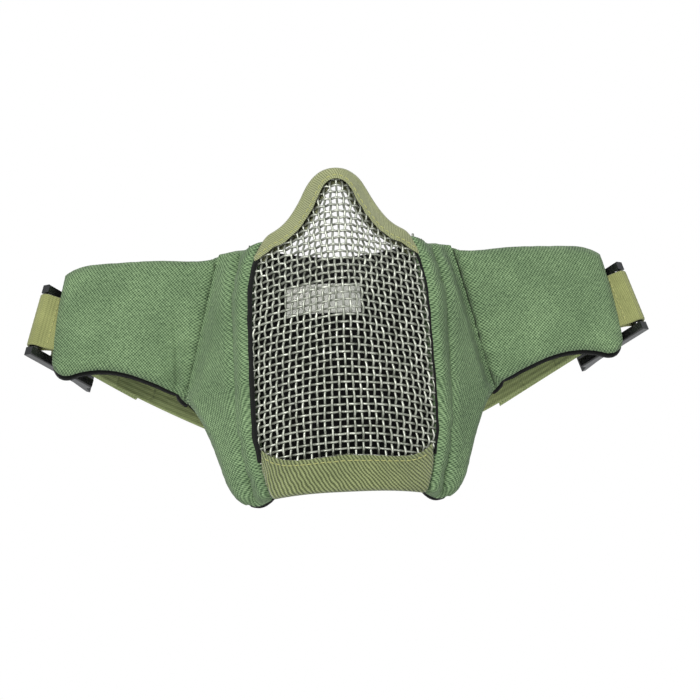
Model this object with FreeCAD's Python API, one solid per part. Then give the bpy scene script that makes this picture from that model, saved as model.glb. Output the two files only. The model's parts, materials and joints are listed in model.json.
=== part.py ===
import FreeCAD, Part
import math
import os
from FreeCAD import Vector

# Half-face mask: a curved steel wire mesh in the middle, a fabric hem down each side of it, and
# on each side a padded cheek panel, a padded wing, a webbing tab and a ladder lock for the strap.
# Millimetres, +Z up, the front faces -Y. The origin is on the centre plane, behind the mesh, at
# half the height of the wings. Everything is made for +X and mirrored for -X.

# --- heights and widths of the front outline ------------------------------------------------
NOSE_TOP_Z = 59.5          # top of the mesh over the nose bridge
CHIN_Z = -79.0             # bottom edge of the mesh
MESH_REACH = 3.0           # how far the mesh runs in under the hem
WING_TOP_Z = 28.0          # top edge of the wings at the crease
MESH_HALF = 40.0           # half width of the mesh at the mouth, seen from the front
MESH_ARC_R = 56.0          # radius of the mesh around the mouth, in plan
NOSE_SIGMA = 11.0          # half width of the nose ridge

# --- layers, as distances behind the front surface --------------------------------------------
MESH_T = 2.0               # two crossing wires of 1 mm
TAPE_T = 1.1               # binding tape and hems, one layer
TAPE_GAP = 0.2             # clearance between a folded tape and the mesh it holds
COVER_T = 1.1              # outer fabric of the pads
PAD_T = 6.4                # whole thickness of a pad
LINING_T = 1.0             # inner fabric of the pads
LAYER_GAP = 0.2            # clearance between layers

# --- fold lines --------------------------------------------------------------------------------
SEAM_SUM = 28.0            # the cheek seam plane is x + y = SEAM_SUM
SEAM_AXIS = Vector(39.0, -11.0, 0.0)
CREASE_X0 = 59.3           # crease line at z = 0
CREASE_DX = -0.276         # its slope in x for each mm of z
CREASE_Y0 = -3.5
CREASE_DY = -0.26
WING_END_X = 125.0
WING_END_Y0 = 4.0          # front surface at the wing's end, at z = 0
WING_END_DY = 0.20
FOLD_GAP = 0.9             # half the open joint between two pads

# --- webbing, buckle and strap -------------------------------------------------------------------
WEB_W = 25.0               # webbing and strap width
WEB_T = 1.4
STRAP_T = 1.6
BAR_R = 2.1                # rear bar of the ladder lock
BAR_PLAY = 0.35
TAB_R_IN = BAR_R + BAR_PLAY
TAB_REACH = -6.5           # where the tab's two layers meet, from the bar
TAB_BACK = -15.0           # the tab's sewn end, inside the wing
BAR_CENTRE = Vector(130.0, 9.0, 6.0)
BAR_DIR = Vector(0.27, -0.20, -0.942)
BODY_DIR = Vector(-0.677, 0.657, -0.333)
LOCK_LEN = 38.0
LOCK_HALF_W = 17.0
RAIL_W = 3.8
RAIL_T = 4.6
TAIL_LEN = {"left": 17.0, "right": 34.0}
TAIL_HEM = 8.0             # the folded and sewn end of the tail
STRAP_SLOPE = 0.56
STRAP_BEND = 35.0
STRAP_BACK_Y = 36.0

NEAR_Y = -75.0             # the outline prisms run from here
FAR_Y = 60.0               # to here


# --- small tools -----------------------------------------------------------------------------------
def through(stations, t):
    """Smooth curve through (t, value) pairs in rising order of t."""
    last = len(stations) - 1
    t = max(stations[0][0], min(stations[last][0], t))
    k = 0
    while k < last - 1 and t > stations[k + 1][0]:
        k += 1

    def slope(i):
        low = max(0, i - 1)
        high = min(last, i + 1)
        return (stations[high][1] - stations[low][1]) / (stations[high][0] - stations[low][0])

    t0, v0 = stations[k]
    t1, v1 = stations[k + 1]
    h = t1 - t0
    s = (t - t0) / h
    rise = v0 * (2 * s ** 3 - 3 * s ** 2 + 1) + v1 * (3 * s ** 2 - 2 * s ** 3)
    return rise + h * (slope(k) * (s ** 3 - 2 * s ** 2 + s) + slope(k + 1) * (s ** 3 - s ** 2))


def unit(v):
    return v * (1.0 / v.Length)


def mirrored(shape):
    return shape.mirror(Vector(0, 0, 0), Vector(1, 0, 0))


def write(name, shape):
    shape.exportStep("parts/" + name + ".step")
    box = shape.BoundBox
    print("%-22s solids %d  valid %s  volume %8.0f  x %6.1f..%6.1f  y %6.1f..%6.1f  z %6.1f..%6.1f"
          % (name, len(shape.Solids), shape.isValid(), shape.Volume,
             box.XMin, box.XMax, box.YMin, box.YMax, box.ZMin, box.ZMax))


def write_pair(stem, right):
    write("right_" + stem, right)
    write("left_" + stem, mirrored(right))


# --- the front surface, y as a function of x and z --------------------------------------------------
FRONT_Y = [(-84, -28.5), (-60, -35.0), (-30, -43.0), (-10, -47.5), (8, -52.0), (30, -47.0),
           (45, -42.0), (62, -35.0)]
NOSE_DEPTH = [(-84, -3.5), (-45, 0.7), (-20, 5.0), (8, 11.0), (30, 12.8), (45, 15.5), (62, 18.5)]
ARC_DEPTH = MESH_ARC_R - math.sqrt(MESH_ARC_R ** 2 - MESH_HALF ** 2)


def centre_y(x, z):
    """Front of the mesh: a round arc across the face with the nose ridge standing out of it."""
    arc = MESH_ARC_R - math.sqrt(MESH_ARC_R ** 2 - x * x)
    ridge = through(NOSE_DEPTH, z) * (1 - math.exp(-x * x / (2 * NOSE_SIGMA ** 2)))
    return through(FRONT_Y, z) + arc + ridge


def crease_x(z):
    return CREASE_X0 + CREASE_DX * z


def crease_y(z):
    return CREASE_Y0 + CREASE_DY * z


def cheek_y(x, z):
    """Front of the cheek: straight from the edge of the mesh back to the crease."""
    level = min(z, WING_TOP_Z)
    slope = (crease_y(level) - centre_y(MESH_HALF, level)) / (crease_x(level) - MESH_HALF)
    return centre_y(MESH_HALF, z) + slope * (x - MESH_HALF)


def front_y(x, z):
    x = abs(x)
    return centre_y(x, z) if x <= MESH_HALF else cheek_y(x, z)


def wing_y(x, z):
    """Front of the wing: straight from the crease to the wing's end."""
    end = WING_END_Y0 + WING_END_DY * z
    return crease_y(z) + (end - crease_y(z)) * (x - crease_x(z)) / (WING_END_X - crease_x(z))


def liner_y(x, z):
    """Front of the inner liner: a flatter arc, hung behind the mesh."""
    return centre_y(MESH_HALF, z) + 7.5 - 13.0 * (1 - (x / MESH_HALF) ** 2)


def behind(surface, x, z, depth):
    """The point on the surface at x, z, moved back along the surface's normal."""
    e = 0.05
    fx = (surface(x + e, z) - surface(x - e, z)) / (2 * e)
    fz = (surface(x, z + e) - surface(x, z - e)) / (2 * e)
    return Vector(x, surface(x, z), z) + unit(Vector(-fx, 1.0, -fz)) * depth


def skin(surface, xs, zs, depth):
    patch = Part.BSplineSurface()
    patch.interpolate([[behind(surface, x, z, depth) for z in zs] for x in xs])
    return patch


def spread(low, high, count):
    return [low + (high - low) * i / (count - 1) for i in range(count)]


def layer(surface, xs, zs, near, far):
    """Closed block between two depths behind the surface."""
    front = skin(surface, xs, zs, near)
    back = skin(surface, xs, zs, far)
    faces = [front.toShape(), back.toShape()]
    u0, u1, v0, v1 = front.bounds()
    for value, kind in ((u0, "u"), (u1, "u"), (v0, "v"), (v1, "v")):
        iso = "uIso" if kind == "u" else "vIso"
        first = getattr(front, iso)(value).toShape()
        second = getattr(back, iso)(value).toShape()
        faces.append(Part.makeRuledSurface(first, second))
    shell = Part.makeShell(faces)
    shell.sewShape()
    block = Part.makeSolid(shell)
    if block.Volume < 0:
        block.reverse()
    return block


def spline_edge(points):
    curve = Part.BSplineCurve()
    curve.interpolate([Vector(x, NEAR_Y, z) for x, z in points])
    return curve.toShape()


def line_edge(a, b):
    return Part.makeLine(Vector(a[0], NEAR_Y, a[1]), Vector(b[0], NEAR_Y, b[1]))


def prism(runs):
    """Outline seen from the front, pushed through the mask. Each run is a list of points: two
    points are a straight side and more are a curved one. The runs follow one another."""
    edges = []
    for run in runs:
        edges.append(line_edge(run[0], run[1]) if len(run) == 2 else spline_edge(run))
    face = Part.Face(Part.Wire(Part.__sortEdges__(edges)))
    return face.extrude(Vector(0, FAR_Y - NEAR_Y, 0))


def inset(runs, amount):
    """The same outline drawn in by an amount, moving each point along the outline's inward normal."""
    drawn = []
    flat = [p for run in runs for p in run[:-1]]
    area = 0.0
    for i, (x, z) in enumerate(flat):
        nx, nz = flat[(i + 1) % len(flat)]
        area += x * nz - nx * z
    turn = 1.0 if area > 0 else -1.0

    def normal(a, b):
        dx = b[0] - a[0]
        dz = b[1] - a[1]
        size = math.hypot(dx, dz)
        return (-dz * turn / size, dx * turn / size)

    moved = []
    for i, p in enumerate(flat):
        n0 = normal(flat[i - 1], p)
        n1 = normal(p, flat[(i + 1) % len(flat)])
        k = amount / (1 + n0[0] * n1[0] + n0[1] * n1[1])
        moved.append((p[0] + k * (n0[0] + n1[0]), p[1] + k * (n0[1] + n1[1])))
    start = 0
    for run in runs:
        count = len(run)
        picked = [moved[(start + i) % len(flat)] for i in range(count)]
        drawn.append(picked)
        start += count - 1
    return drawn


def half_space(point, direction, along):
    """Large block on the side of a plane that the direction points to. The plane passes through
    the point and holds the line along."""
    n = unit(direction)
    t = unit(along)
    s = n.cross(t)
    size = 300.0
    corners = [point + t * (i * size) + s * (j * size) for i, j in ((-1, -1), (1, -1), (1, 1), (-1, 1))]
    face = Part.Face(Part.makePolygon(corners + [corners[0]]))
    return face.extrude(n * size)


# --- front outlines -------------------------------------------------------------------------------
# right half of each, as (x, z)
TOP_EDGE = [(0.0, NOSE_TOP_Z), (6.0, 58.0), (10.5, 54.0), (14.0, 48.0), (18.5, 41.0),
            (23.5, 36.0), (29.5, 33.2)]
SIDE_EDGE = [(31.0, 33.0), (36.0, 24.0), (39.2, 12.0), (40.0, 0.0), (40.0, -38.0), (39.0, -56.0),
             (36.4, -68.0), (34.2, -79.0)]
CHIN_TOP = [(41.0, -49.0), (35.6, -59.5), (28.0, -64.0), (14.0, -64.6), (0.0, -64.0)]
WING_TOP = [(44.0, 32.5), (58.0, 28.0), (76.0, 29.5), (98.0, 30.5), (112.0, 30.0), (119.5, 26.5)]
WING_END = [(119.5, 26.5), (122.9, 12.0), (126.0, -11.0)]
WING_CORNER = [(126.0, -11.0), (125.6, -15.5), (122.8, -18.6), (118.0, -19.2)]
WING_BOTTOM = [(118.0, -19.2), (105.0, -17.0), (87.0, -21.0), (66.0, -31.5), (56.0, -38.0)]
CHEEK_OUT = [(68.5, -30.5), (61.0, -44.0), (54.0, -64.0), (48.5, -77.5), (44.0, -81.5)]


def flip(points):
    return [(-x, z) for x, z in reversed(points)]


def out(points, amount):
    return [(x + amount, z) for x, z in points]


CENTRE_X = spread(-49.0, 49.0, 29)
CENTRE_Z = spread(-84.0, 62.0, 21)
HEM_X = spread(26.0, 50.0, 11)
CHEEK_X = spread(34.0, 78.0, 9)
CHEEK_Z = spread(-84.0, 38.0, 13)
LINER_X = spread(-44.0, 44.0, 9)
LINER_Z = spread(-80.0, 30.0, 9)
WING_X = spread(42.0, 134.0, 7)
WING_Z = spread(-42.0, 36.0, 7)


def mesh_outline(side):
    """Outline of the wire mesh, with its sides moved out by the given amount."""
    right = out(SIDE_EDGE, side)
    top = flip(TOP_EDGE)[:-1] + TOP_EDGE
    corner = right[0]
    foot = right[-1]
    return prism([top, [top[-1], corner], right, [foot, (-foot[0], foot[1])], flip(right),
                  [(-corner[0], corner[1]), top[0]]])


def wire_mesh_panel():
    return layer(front_y, CENTRE_X, CENTRE_Z, 0.0, MESH_T).common(mesh_outline(MESH_REACH))


def folded_tape(surface, xs, zs, outline):
    """Tape folded over an edge of the mesh: a block round it with room for the mesh inside."""
    reach = TAPE_T + TAPE_GAP
    block = layer(surface, xs, zs, -reach, MESH_T + reach).common(outline)
    room = layer(surface, xs, zs, -TAPE_GAP, MESH_T + TAPE_GAP).common(mesh_outline(MESH_REACH + TAPE_GAP))
    return block.cut(room)


def nose_binding():
    """Tape folded over the top edge, from one wing over the nose to the other."""
    outer = [(x + dx, z + dz) for (x, z), (dx, dz) in zip(
        TOP_EDGE, [(0, 1.4), (0.7, 1.4), (1.2, 1.0), (1.3, 0.7), (1.2, 0.9), (0.9, 1.2), (0.6, 1.4)])]
    inner = [(0.0, 52.6), (4.2, 51.4), (6.6, 48.2), (9.6, 42.6), (13.6, 36.4), (19.0, 31.0), (27.0, 27.2)]
    top = flip(outer)[:-1] + outer
    under = flip(inner)[:-1] + inner
    under.reverse()
    outline = prism([top, [top[-1], under[0]], under, [under[-1], top[0]]])
    tape = folded_tape(front_y, CENTRE_X, CENTRE_Z, outline)
    hems = prism([SIDE_EDGE, [SIDE_EDGE[-1], (60.0, -79.0)], [(60.0, -79.0), (60.0, 33.0)],
                  [(60.0, 33.0), SIDE_EDGE[0]]])
    return tape.cut(hems).cut(mirrored(hems))


def chin_panel():
    """Band folded over the bottom edge of the mesh."""
    corner = CHIN_TOP[0]
    foot = (corner[0], CHIN_Z - 1.6)
    top = CHIN_TOP + flip(CHIN_TOP)[1:]
    outline = prism([top, [corner, foot], [foot, (-foot[0], foot[1])], [(-foot[0], foot[1]), top[-1]]])
    band = folded_tape(front_y, CENTRE_X, CENTRE_Z, outline)
    return band.cut(hem_space()).cut(mirrored(hem_space()))


def hem_space():
    """The strip beside the mesh that the right hem takes up."""
    side = [(x - 0.15, z) for x, z in SIDE_EDGE]
    foot = (side[-1][0], -84.0)
    return prism([side, [side[-1], foot], [foot, (60.0, -84.0)], [(60.0, -84.0), (60.0, 36.0)],
                  [(60.0, 36.0), side[0]]])


def seam_side(shift, outward):
    """Everything on one side of the cheek seam plane, the plane moved outward by shift."""
    outwards = Vector(1.0, 1.0, 0.0)
    point = Vector(SEAM_SUM / 2, SEAM_SUM / 2, 0) + unit(outwards) * shift
    return half_space(point, outwards if outward else outwards * -1.0, Vector(0, 0, 1))


def hem():
    """Rolled edge of the right cheek cover, folded over the side of the mesh."""
    top = [(31.0, 33.0), (38.0, 34.2), (60.0, 34.2)]
    foot = [(34.2, -79.0), (36.0, -81.6), (60.0, -81.6)]
    outline = prism([SIDE_EDGE, foot, [(60.0, -81.6), (60.0, 34.2)], top[::-1]])
    tape = folded_tape(front_y, HEM_X, CENTRE_Z, outline)
    return tape.common(seam_side(0.0, False))


def inner_liner():
    outline = prism([[(-38.0, 25.0), (0.0, 23.5), (38.0, 25.0)], [(38.0, 25.0), (39.5, 0.0), (39.5, -40.0),
                     (33.5, -76.0)], [(33.5, -76.0), (-33.5, -76.0)],
                     [(-33.5, -76.0), (-39.5, -40.0), (-39.5, 0.0), (-38.0, 25.0)]])
    return layer(liner_y, LINER_X, LINER_Z, 0.0, 1.0).common(outline)


def care_label():
    """Blank patch sewn to the front of the liner."""
    corners = [(-23.5, -2.5), (8.5, -2.5), (8.5, 10.5), (-23.5, 10.5)]
    outline = prism([[corners[i - 1], corners[i]] for i in range(4)])
    return layer(liner_y, LINER_X, LINER_Z, -0.7, -0.15).common(outline)


# --- pads ---------------------------------------------------------------------------------------------
CREASE_LINE = Vector(CREASE_DX, CREASE_DY, 1.0)
CREASE_AXIS = Vector(CREASE_X0 - 3.0, CREASE_Y0 + 5.8, 0.0)


def crease_side(shift, outward):
    """Everything on one side of the crease plane, which holds the crease and its hinge line."""
    across = CREASE_LINE.cross(Vector(CREASE_X0, CREASE_Y0, 0) - CREASE_AXIS)
    if across.x < 0:
        across = across * -1.0
    point = CREASE_AXIS + unit(across) * shift
    return half_space(point, across if outward else across * -1.0, CREASE_LINE)


def cheek_runs():
    return [[(36.0, 33.0), (60.0, 29.0)], [(60.0, 29.0), (80.0, -30.5)], [(80.0, -30.5), CHEEK_OUT[0]],
            CHEEK_OUT, [CHEEK_OUT[-1], (36.0, -81.5)], [(36.0, -81.5), (36.0, 33.0)]]


def wing_runs():
    return [WING_TOP, WING_END, WING_CORNER, WING_BOTTOM, [WING_BOTTOM[-1], (44.0, -38.0)],
            [(44.0, -38.0), WING_TOP[0]]]


def pad(surface, xs, zs, runs, trims):
    """Cover, foam and lining of one pad. The cover is a tray that wraps the pad's edges, the foam
    lies in it and the lining closes it. trims cut it at its fold lines, given an extra inset."""
    def shaped(near, far, edge, extra):
        block = layer(surface, xs, zs, near, far).common(prism(inset(runs, edge) if edge else runs))
        for trim in trims:
            block = block.common(trim(extra))
        return block

    wall = COVER_T
    inner = wall + LAYER_GAP
    cover = shaped(0.0, PAD_T, 0.0, 0.0).cut(shaped(wall, PAD_T + 2.0, wall, wall))
    foam = shaped(inner, PAD_T - LINING_T - LAYER_GAP, inner, inner)
    lining = shaped(PAD_T - LINING_T, PAD_T, inner, inner)
    return cover, foam, lining


def cheek():
    trims = [lambda extra: seam_side(FOLD_GAP + extra, True),
             lambda extra: crease_side(-FOLD_GAP - extra, False)]
    return pad(cheek_y, CHEEK_X, CHEEK_Z, cheek_runs(), trims)


def wing():
    trims = [lambda extra: crease_side(FOLD_GAP + extra, True)]
    return pad(wing_y, WING_X, WING_Z, wing_runs(), trims)


# --- webbing tab, ladder lock and strap ------------------------------------------------------------------
E1 = unit(BAR_DIR)
E2 = unit(BODY_DIR - E1 * BODY_DIR.dot(E1))
E3 = E1.cross(E2)
TAB_OUT = unit(Vector(1.0, 0.14, 0.0) - E1 * Vector(1.0, 0.14, 0.0).dot(E1))
TAB_UP = E1.cross(TAB_OUT)


def slab(points, across, up, half):
    """Solid with the given profile in the plane of across and up, centred on the rear bar and
    running half a width each way along it."""
    corners = [BAR_CENTRE + across * u + up * v - E1 * half for u, v in points]
    face = Part.Face(Part.makePolygon(corners + [corners[0]]))
    return face.extrude(E1 * (2 * half))


def tube_about_bar(radius, half):
    return Part.makeCylinder(radius, 2 * half, BAR_CENTRE - E1 * half, E1)


def tab_body(grow):
    """The webbing tab as a solid block: a flat part sewn into the wing's end, a neck and a round
    end about the bar, all grown by an amount."""
    half = WEB_W / 2 + grow
    t = WEB_T + 0.1 + grow
    r_out = TAB_R_IN + WEB_T + grow
    tilt = math.atan2(r_out - t, -TAB_REACH)
    rise = (r_out * math.sin(tilt), r_out * math.cos(tilt))
    neck = slab([(TAB_REACH, -t), (-rise[0], -rise[1]), (0.0, -r_out), (0.0, r_out), (-rise[0], rise[1]),
                 (TAB_REACH, t)], TAB_OUT, TAB_UP, half)
    back = TAB_BACK - grow
    flat = slab([(back, -t), (TAB_REACH + 0.5, -t), (TAB_REACH + 0.5, t), (back, t)], TAB_OUT, TAB_UP, half)
    return tube_about_bar(r_out, half).fuse(neck).fuse(flat)


def webbing_tab():
    """Webbing folded round the rear bar of the ladder lock and sewn into the wing's end."""
    hollow = slab([(TAB_REACH + 2.6, 0.0), (0.0, -TAB_R_IN), (0.0, TAB_R_IN)], TAB_OUT, TAB_UP, WEB_W / 2)
    bore = tube_about_bar(TAB_R_IN, WEB_W / 2)
    return tab_body(0.0).cut(bore).cut(hollow).removeSplitter()


def lock_block(u0, u1, v0, v1, w0, w1):
    """Block in the ladder lock's own axes: u from the rear bar to the lever, v out of its plane
    and w along the bars."""
    corner = BAR_CENTRE + E2 * u0 + E3 * v0 + E1 * w0
    face = Part.Face(Part.makePolygon([corner, corner + E2 * (u1 - u0), corner + E2 * (u1 - u0) + E3 * (v1 - v0),
                                       corner + E3 * (v1 - v0), corner]))
    return face.extrude(E1 * (w1 - w0))


def lock_room():
    """Room at the wing's end for the webbing tab and for the rails of the ladder lock as it swings."""
    room = tab_body(LAYER_GAP)
    half_t = RAIL_T / 2 + 1.0
    for sign in (-1, 1):
        inner = sign * (LOCK_HALF_W - RAIL_W - 1.0)
        room = room.fuse(lock_block(-4.0, 12.0, -half_t, half_t, inner, sign * (LOCK_HALF_W + 1.0)))
    return room


def ladder_lock():
    """Plastic ladder lock: two side rails, a round rear bar, a grip bar and a lever plate."""
    half_t = RAIL_T / 2
    outer = LOCK_HALF_W
    lock = tube_about_bar(BAR_R, outer - 1.0)
    for sign in (-1, 1):
        rail = lock_block(-3.0, LOCK_LEN - 4.0, -half_t, half_t, sign * outer, sign * (outer - RAIL_W))
        lock = lock.fuse(rail)
    grip = lock_block(14.0, 18.2, -half_t, half_t - 1.0, -outer + 1.0, outer - 1.0)
    profile = [(24.0, -0.6), (24.6, 1.9), (LOCK_LEN - 1.0, 4.4), (LOCK_LEN, 3.2), (30.0, -0.6), (27.0, -2.0)]
    lever = slab(profile, E2, E3, outer)
    lock = lock.fuse(grip).fuse(lever).removeSplitter()
    edges = [e for e in lock.Edges if abs(e.Length - (LOCK_LEN - 1.0)) < 0.6]
    return lock.makeFillet(0.8, edges) if edges else lock


def strip(path, thickness, half):
    """Band of the given thickness whose middle line follows a path in the lock's u, v plane."""
    left = []
    right = []
    for i, (u, v) in enumerate(path):
        a = path[max(0, i - 1)]
        b = path[min(len(path) - 1, i + 1)]
        size = math.hypot(b[0] - a[0], b[1] - a[1])
        n = (-(b[1] - a[1]) / size, (b[0] - a[0]) / size)
        left.append((u + n[0] * thickness / 2, v + n[1] * thickness / 2))
        right.append((u - n[0] * thickness / 2, v - n[1] * thickness / 2))
    return slab(left + right[::-1], E2, E3, half)


STRAP_JOIN_U = 44.0
STRAP_JOIN_V = -5.6
TAIL_V = -3.35


def band(stations, ruled):
    """Flat band through stations of (middle, across, thickness), across being half its width."""
    sections = []
    for i, (mid, across, thickness) in enumerate(stations):
        before = stations[max(0, i - 1)][0]
        after = stations[min(len(stations) - 1, i + 1)][0]
        thick = unit((after - before).cross(across)) * (thickness / 2)
        corners = [mid - across - thick, mid + across - thick, mid + across + thick, mid - across + thick]
        sections.append(Part.makePolygon(corners + [corners[0]]))
    return Part.makeLoft(sections, True, ruled)


def strap_end(tail):
    """End of the head strap: under the lock, up behind the grip bar, over it, down in front of it
    and out under the lever as the tail, which droops beside the strap and ends in a folded hem."""
    leave = LOCK_LEN + 1.0
    load = [(STRAP_JOIN_U, STRAP_JOIN_V), (32.0, -5.3), (20.0, -4.9), (12.6, -4.2)]
    turn = [(10.4, -2.2), (10.6, 1.2), (12.8, 3.0), (16.5, 3.2), (19.6, 2.6), (21.2, 0.4), (22.4, -1.8)]
    over = [(26.0, -3.3), (32.0, TAIL_V), (leave, TAIL_V)]

    def droop(past, thickness):
        middle = BAR_CENTRE + E2 * (leave + past) + E3 * (TAIL_V - 0.0085 * past ** 2) + E1 * (0.0035 * past ** 2)
        return middle, unit(E1 + E2 * 0.006 * past) * (WEB_W / 2), thickness

    hem_start = tail - TAIL_HEM
    hanging = [droop(past, STRAP_T) for past in spread(0.0, hem_start, 5)]
    folded = [droop(past, 2 * STRAP_T) for past in spread(hem_start + 0.4, tail, 3)]
    return strip(load + turn + over, STRAP_T, WEB_W / 2).fuse(band(hanging + folded, True))


def head_strap():
    """The band behind the mask, from one ladder lock to the other, hanging in a shallow bow."""
    start = BAR_CENTRE + E2 * (STRAP_JOIN_U + 1.0) + E3 * STRAP_JOIN_V
    low = start.z - STRAP_SLOPE * (math.hypot(start.x, STRAP_BEND) - STRAP_BEND)

    def middle(x):
        z = low + STRAP_SLOPE * (math.hypot(x, STRAP_BEND) - STRAP_BEND)
        y = STRAP_BACK_Y - (STRAP_BACK_Y - start.y) * abs(x / start.x) ** 2.4
        return Vector(x, y, z)

    stations = []
    for x in spread(-start.x, start.x, 17):
        ahead = unit(middle(x + 0.5) - middle(x - 0.5))
        plain = unit(Vector(0, 0, -1) + ahead * ahead.z)
        share = max(0.0, (abs(x) / start.x - 0.45) / 0.55) ** 2
        lock = Vector(math.copysign(E1.x, x), E1.y, E1.z)
        across = unit(plain * (1 - share) + lock * share) * (WEB_W / 2)
        stations.append((middle(x), across, STRAP_T))
    return band(stations, False)


def main():
    os.makedirs("parts", exist_ok=True)
    write("wire_mesh_panel", wire_mesh_panel())
    write("nose_binding", nose_binding())
    write("chin_panel", chin_panel())
    write("inner_liner", inner_liner())
    write("care_label", care_label())
    write_pair("hem", hem())
    for stem, shape in zip(("cheek_cover", "cheek_foam", "cheek_lining"), cheek()):
        write_pair(stem, shape)
    room = lock_room()
    for stem, shape in zip(("wing_cover", "wing_foam", "wing_lining"), wing()):
        write_pair(stem, shape.cut(room))
    write_pair("webbing_tab", webbing_tab())
    write_pair("ladder_lock", ladder_lock())
    write("right_strap_end", strap_end(TAIL_LEN["right"]))
    write("left_strap_end", mirrored(strap_end(TAIL_LEN["left"])))
    write("head_strap", head_strap())


main()
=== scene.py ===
import json
import math
import bmesh
import bpy
import numpy as np
from mathutils import Matrix, Vector
from mathutils.bvhtree import BVHTree


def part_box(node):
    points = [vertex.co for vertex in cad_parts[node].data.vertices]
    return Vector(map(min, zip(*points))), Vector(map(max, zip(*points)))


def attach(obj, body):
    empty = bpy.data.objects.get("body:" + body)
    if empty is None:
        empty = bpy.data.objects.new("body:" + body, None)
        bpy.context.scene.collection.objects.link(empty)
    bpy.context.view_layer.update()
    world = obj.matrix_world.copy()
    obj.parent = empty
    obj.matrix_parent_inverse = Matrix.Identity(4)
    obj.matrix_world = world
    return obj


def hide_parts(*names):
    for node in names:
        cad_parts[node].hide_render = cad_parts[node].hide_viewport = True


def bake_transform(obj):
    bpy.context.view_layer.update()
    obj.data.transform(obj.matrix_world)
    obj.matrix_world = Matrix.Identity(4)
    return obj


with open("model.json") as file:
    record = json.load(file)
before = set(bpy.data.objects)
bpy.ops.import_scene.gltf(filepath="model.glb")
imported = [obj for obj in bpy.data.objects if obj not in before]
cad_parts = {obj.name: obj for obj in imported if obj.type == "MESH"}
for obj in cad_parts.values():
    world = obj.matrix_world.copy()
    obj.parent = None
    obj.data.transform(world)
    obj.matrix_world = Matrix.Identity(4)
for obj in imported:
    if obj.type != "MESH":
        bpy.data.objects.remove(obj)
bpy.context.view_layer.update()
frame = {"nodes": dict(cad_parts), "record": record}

MM = 0.001

# ---------------------------------------------------------------------------------------------
# driving sizes, in millimetres unless they say otherwise
WIRE_R = 0.53
WIRE_PITCH = 3.2
WEAVE_RISE = 0.46            # how far a wire bows each way to pass over and under
ROW_DROP = 3.6               # how much lower the rows of wire run at the sides of the mesh
STEPS = 6                    # points on a wire between two crossings
HEM_COVERS_X = 33.5          # the hems hide the wires past this x
WIRE_TRIM_Z = 29.5           # where the wires under the hems end
PAD_PUFF = 2.8               # how far the pads swell past their flat shape
WEB_W = 25.0                 # width of the webbing and of the strap
WEB_T = 1.4
STRAP_T = 1.6
THREAD_R = 0.24
FAR = 0.3                    # metres from the centre plane, outside the whole mask
ROW_GAP = 3.08               # the rows of wire lie a little closer than the columns


# ---------------------------------------------------------------------------------------------
# reading the frame
def tree_of(*names):
    verts = []
    faces = []
    for name in names:
        mesh = frame["nodes"][name].data
        start = len(verts)
        verts += [v.co.copy() for v in mesh.vertices]
        faces += [[start + i for i in p.vertices] for p in mesh.polygons]
    return BVHTree.FromPolygons(verts, faces)


def hit_y(tree, x, z):
    """Depth in mm of the first surface met at x, z (mm), looking from the front."""
    spot = tree.ray_cast(Vector((x * MM, -FAR, z * MM)), Vector((0.0, 1.0, 0.0)))[0]
    return None if spot is None else spot.y / MM


def unit(vectors):
    return vectors / np.linalg.norm(vectors, axis=-1, keepdims=True)


def blurred(values, rounds, axis):
    for _ in range(rounds):
        padded = np.concatenate([values.take([0], axis), values, values.take([-1], axis)], axis)
        count = values.shape[axis]
        low = padded.take(range(count), axis)
        high = padded.take(range(2, count + 2), axis)
        values = 0.25 * low + 0.5 * values + 0.25 * high
    return values


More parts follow.
